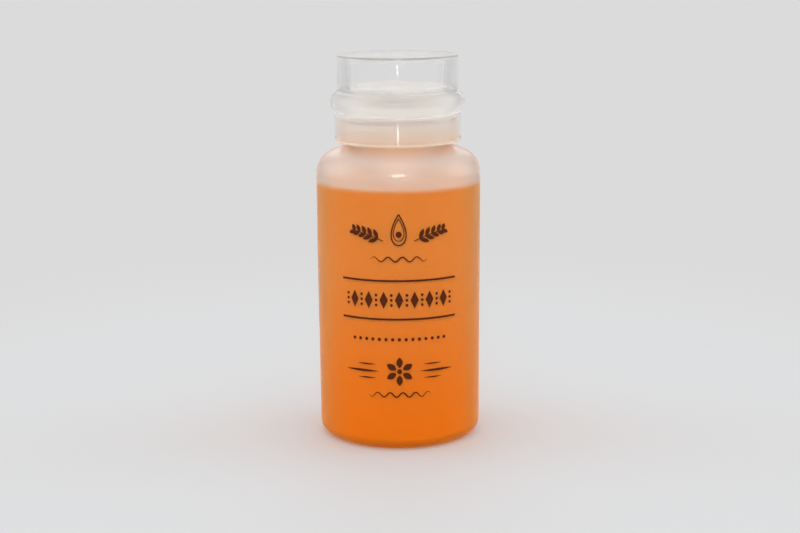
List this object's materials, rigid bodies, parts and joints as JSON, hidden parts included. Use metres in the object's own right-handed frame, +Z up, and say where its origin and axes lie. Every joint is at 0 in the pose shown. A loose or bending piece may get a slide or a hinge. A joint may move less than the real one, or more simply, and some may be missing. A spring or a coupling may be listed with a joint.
{
  "type": "nail polish remover bottle",
  "caption": "Round translucent bottle of remover with a screw-on push-down dish pump, sprung piston, ball valves and dip tube, under a clear pull-off overcap with a grip bead.",
  "frame": {"origin": "centre of the foot ring, on the surface that the bottle stands on", "axes": "+Z up along the bottle's axis, -Y towards the viewer of the printed front, +X to that viewer's right"},
  "size_m": [0.05, 0.05, 0.1168],
  "materials": {
    "natural_bottle": "natural blow-moulded polyethylene, milky translucent with a soft sheen",
    "orange_fluid": "clear orange liquid",
    "soft_seal": "soft white polyethylene",
    "natural_collar": "natural polypropylene, hazy translucent",
    "clear_cap": "clear gloss styrene",
    "natural_moulding": "natural polypropylene",
    "natural_dish": "natural polypropylene, hazy translucent",
    "sprung_steel": "drawn stainless steel"
  },
  "bodies": {
    "bottle": {"bottle": "natural_bottle", "remover_liquid": "orange_fluid"},
    "pump_body": {"pump_housing": "natural_moulding", "neck_gasket": "soft_seal", "guide_bush": "natural_moulding", "ball_cage": "natural_moulding", "dip_tube": "natural_moulding", "return_spring": "sprung_steel"},
    "collar": {"collar": "natural_collar"},
    "overcap": {"overcap": "clear_cap"},
    "plunger": {"dish": "natural_dish", "dish_insert": "soft_seal", "pump_stem": "natural_moulding", "piston_seal": "soft_seal"},
    "inlet_ball": {"inlet_ball": "sprung_steel"},
    "outlet_ball": {"outlet_ball": "sprung_steel"}
  },
  "joints": [
    {"name": "closure_lift", "type": "slide", "parent": "bottle", "child": "pump_body", "axis": [0, 0, 1], "range_m": [0, 0.0042]},
    {"name": "collar_turn", "type": "hinge", "parent": "pump_body", "child": "collar", "pos_m": [0, 0, 0.095], "axis": [0, 0, 1], "range_deg": [0, 360]},
    {"name": "overcap_lift", "type": "slide", "parent": "collar", "child": "overcap", "axis": [0, 0, 1], "range_m": [0, 0.03]},
    {"name": "dish_press", "type": "slide", "parent": "pump_body", "child": "plunger", "axis": [0, 0, 1], "range_m": [-0.0035, 0], "stiffness_N_per_m": 400, "springref_m": 0.0008, "deforming": ["return_spring"]},
    {"name": "inlet_ball_lift", "type": "slide", "parent": "pump_body", "child": "inlet_ball", "axis": [0, 0, 1], "range_m": [0, 0.0012]},
    {"name": "outlet_ball_lift", "type": "slide", "parent": "plunger", "child": "outlet_ball", "axis": [0, 0, 1], "range_m": [0, 0.0009]}
  ],
  "couplings": [
    {"joint": "collar_turn", "follows": "closure_lift", "rad_per_m": 1485.9}
  ]
}
